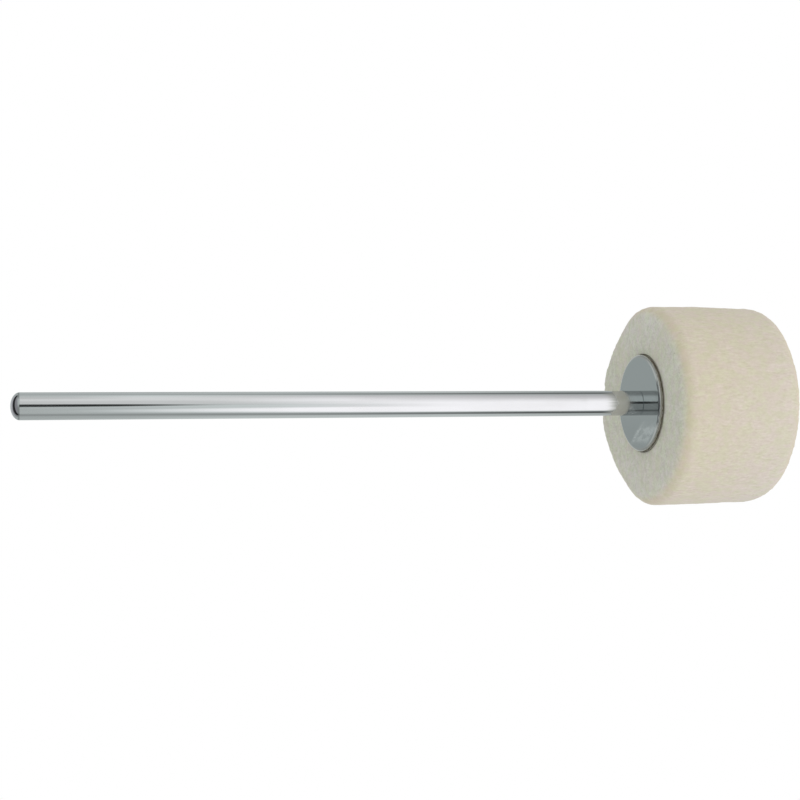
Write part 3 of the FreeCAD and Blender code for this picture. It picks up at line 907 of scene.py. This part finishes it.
def tent_cloth():
    """Glow of the light tent that the metal mirrors, by direction in degrees and by height.

    A bright front panel rises above grey walls, sooner on its +X side, and fades towards -X, up to a dull
    header. Two dark openings stand at its sides. The walls are a little cooler than the panel.
    """
    wall_cool = (0.937, 1.006, 0.992, 1.0)
    wall_neutral = (0.985, 1.0, 0.995, 1.0)
    panel_white = (1.008, 0.996, 1.014, 1.0)
    header_cream = (1.0, 1.02, 0.92, 1.0)
    finish = Finish("tent_cloth")
    x, y, height = finish.position()
    angle = finish.heading(x, y)
    turned_away = finish.math("ABSOLUTE", angle)
    panel_share = panel_reach(finish, angle, height)
    header = tent_header(finish, turned_away, height)
    glow = finish.toward(tent_walls(finish, angle, height), tent_panel(finish, angle, height), panel_share)
    glow = finish.product(glow, tent_openings(finish, angle, height), 1.245)
    glow = finish.toward(glow, finish.ramp(turned_away, 60.0, 110.0, to=(0.425, 0.4)), header)
    tint = finish.mix(finish.window(angle, at=45.0, reach=35.0, soft=15.0), wall_cool, wall_neutral)
    tint = finish.mix(finish.product(panel_share, finish.fade(angle, 60.0, 105.0)), tint, panel_white)
    tint = finish.mix(header, tint, header_cream)
    return finish.surface(finish.node("ShaderNodeEmission", Color=tint, Strength=glow))


def ground_cloth():
    """Cool grey ground: even behind, where the washer mirrors it, lighter in front, with painted shadow
    under the tip.

    Towards the tent's sides and far back it takes on the walls' tone.
    """
    under_cool = (0.98, 0.985, 1.05, 1.0)
    outside_cool = (0.94, 1.018, 1.005, 1.0)
    finish = Finish("ground_cloth")
    x, y = finish.position()[:2]
    angle = finish.heading(x, y)
    behind = finish.ramp(finish.math("ABSOLUTE", angle), 150.0, 172.0)
    tone = finish.more(0.324, behind, 0.081)
    tone = finish.more(tone, finish.product(behind, finish.ramp(x, 0.004, 0.028)), -0.03)
    outside = finish.ramp(finish.distance(x, y), 0.03, 0.11)
    lighter = finish.product(finish.window(angle, at=38.0, reach=35.0, soft=20.0), outside)
    tone = finish.more(tone, lighter, 0.30)
    tone = finish.more(tone, finish.window(angle, at=-74.0, reach=10.0, soft=8.0), -0.17)
    aside = finish.ramp(finish.math("ABSOLUTE", x), 0.55, 0.97, to=(0.0, 0.9))
    far_back = finish.ramp(y, 0.62, 0.97, to=(0.0, 0.9))
    wall_tone = finish.ramp(x, -0.6, 0.6, to=(0.68, 0.5))
    tone = finish.toward(tone, wall_tone, finish.math("MAXIMUM", aside, far_back))
    close_behind = finish.product(finish.ramp(y, 0.02, 0.04), finish.fade(y, 0.28, 0.42))
    close_behind = finish.product(close_behind, finish.window(x, at=0.0, reach=0.15, soft=0.05))
    tone = finish.more(tone, close_behind, 0.2)
    # Painted shadow of the rod on the ground under its tip.
    tip_shadow = finish.window(finish.more(y, x, 0.25), at=0.005, reach=0.0155, soft=0.003)
    tip_shadow = finish.product(tip_shadow, finish.window(x, at=0.0, reach=0.12, soft=0.04))
    tone = finish.product(tone, finish.more(1.0, tip_shadow, -0.91))
    tint = finish.mix(outside, under_cool, outside_cool)
    return finish.surface(finish.node("ShaderNodeEmission", Color=tint, Strength=tone))


def camera_black():
    """Dark camera as the chrome sees it: an oval with soft edges."""
    black_paint = (0.037, 0.04, 0.04, 1.0)
    finish = Finish("camera_black")
    where = finish.position()
    across = finish.math("DIVIDE", finish.total(where["X"], 0.03), 0.085)
    along = finish.math("DIVIDE", where["Z"], 0.1)
    share = finish.fade(finish.distance(across, along), 0.6, 1.25)
    dark = finish.node("ShaderNodeEmission", Color=black_paint, Strength=1.0)
    clear = finish.node("ShaderNodeBsdfTransparent")
    return finish.surface(finish.layered(share, clear, dark))


def stage_surface(name, grid, around, material):
    """A stage mesh over a (rows, columns, 3) grid, whose columns may go all the way round."""
    rows, columns = grid.shape[:2]
    number = np.arange(rows * columns).reshape(rows, columns)
    if around:
        number = np.concatenate([number, number[:, :1]], axis=1)
    mesh = bpy.data.meshes.new(name)
    mesh.from_pydata(grid.reshape(-1, 3).tolist(), [], grid_quads(number).tolist())
    mesh.materials.append(material)
    surface = bpy.data.objects.new(name, mesh)
    bpy.context.scene.collection.objects.link(surface)
    return surface


def only_mirrored(surface):
    """Lets metal mirror a stage surface that the camera, the matt light and the shadows don't see."""
    surface.visible_camera = False
    surface.visible_diffuse = False
    surface.visible_shadow = False
    surface.visible_volume_scatter = False


def stage_rings(profile, columns):
    """Rings of a stage profile about the Z axis."""
    return turned(profile[:, :1], profile[:, 1:], columns)


def build_stage():
    """Floor disc, the tent's ground, its wall and dome, and the camera card: rings or a flat grid.

    The dome is part of an ellipse that goes on from the wall, cos(angle) of the tent's radius out and
    sin(angle) of the dome's rise up.
    """
    floor = level(np.array([PINHOLE, 0.5 * FLOOR_RADIUS, FLOOR_RADIUS]), FLOOR_HEIGHT)
    stage_surface("floor", stage_rings(floor, GROUND_COLUMNS), True, floor_paint())
    ground = level(np.array([PINHOLE, TENT_RADIUS]), GROUND_HEIGHT)
    only_mirrored(stage_surface("tent_ground", stage_rings(ground, GROUND_COLUMNS), True, ground_cloth()))
    dome_rise = TENT_TOP - TENT_HEIGHT
    dome = arc(0.0, TENT_HEIGHT, TENT_RADIUS, 0.0, DOME_LAST_ANGLE, DOME_ROWS, dome_rise)
    tent = np.concatenate([[[TENT_RADIUS, GROUND_HEIGHT]], dome])
    only_mirrored(stage_surface("tent_wall", stage_rings(tent, TENT_COLUMNS), True, tent_cloth()))
    across, along = np.meshgrid(CARD_SIDES, CARD_ENDS)
    card = np.stack([across, np.full_like(across, CAMERA_PLACE.y - CARD_BEHIND_CAMERA), along], axis=2)
    only_mirrored(stage_surface("camera_card", card, False, camera_black()))


def build_light():
    """White surroundings for the camera and for mirroring or clear surfaces, softer light elsewhere, a key.

    Metal mirrors the tent, so the key light doesn't show there.
    """
    world = bpy.data.worlds.new("studio")
    world.use_nodes = True
    wiring = Wiring(world.node_tree)
    path = wiring.node("ShaderNodeLightPath").outputs
    seen = wiring.math("ADD", path["Is Camera Ray"], path["Is Glossy Ray"])
    clamped_sum = wiring.node("ShaderNodeMath", {"operation": "ADD", "use_clamp": True})
    shown = wiring.feed_all(clamped_sum, seen, path["Is Transmission Ray"]).outputs[0]
    soft = wiring.node("ShaderNodeBackground", Color=SOFT_WHITE)
    white = wiring.node("ShaderNodeBackground", Color=WHITE)
    wiring.node("ShaderNodeOutputWorld", Surface=wiring.layered(shown, soft, white).outputs[0])
    bpy.context.scene.world = world
    light = bpy.data.lights.new("front_softbox", "AREA")
    light.size = KEY_SIZE
    light.energy = KEY_POWER
    light.color = KEY_COLOUR
    lamp = bpy.data.objects.new("front_softbox", light)
    lamp.location = KEY_PLACE
    lamp.rotation_euler = (KEY_TARGET - KEY_PLACE).to_track_quat("-Z", "Y").to_euler()
    lamp.visible_glossy = False
    bpy.context.scene.collection.objects.link(lamp)


def build_camera():
    """Camera at the photograph's place, with its right, up and backward axes as a matrix's columns."""
    forward = CAMERA_FORWARD.normalized()
    right = forward.cross(CAMERA_UP).normalized()
    up = right.cross(forward)
    camera = bpy.data.cameras.new("camera")
    camera.lens = CAMERA_LENS
    camera.sensor_width = SENSOR_WIDTH
    camera.clip_start = CAMERA_NEAR
    camera.clip_end = CAMERA_FAR
    eye = bpy.data.objects.new("camera", camera)
    turn = Matrix((right, up, -forward)).transposed().to_4x4()
    eye.matrix_world = Matrix.Translation(CAMERA_PLACE) @ turn
    bpy.context.scene.collection.objects.link(eye)
    bpy.context.scene.camera = eye


def dress(piece, material, body, node):
    """Gives a piece its material and its CAD body, and hides the CAD node it stands for."""
    piece.data.materials.append(material)
    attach(piece, body)
    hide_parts(node)


build_camera()
build_light()
build_stage()

washer_finish = washer_plate()
zinc_finish = zinc_plate()
lower_low, lower_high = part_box("lower_washer")
upper_low, upper_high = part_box("upper_washer")
dress(chromed_rod(), chrome_plate(), "shank", "shank_rod")
rod_side_washer = plated_washer("rod_side_washer", seat=lower_high.z, outer_face=lower_low.z)
dress(rod_side_washer, washer_finish, "shank", "lower_washer")
nut_side_washer = plated_washer("nut_side_washer", seat=upper_low.z, outer_face=upper_high.z)
dress(nut_side_washer, washer_finish, "head", "upper_washer")
felt = felt_head()
dress(felt, wool_felt(), "head", "felt_head")
dress(spring_washer(), zinc_finish, "spring", "lock_washer")
dress(hexagon_nut(), zinc_finish, "nut", "top_nut")

bpy.context.scene.view_settings.view_transform = "Standard"
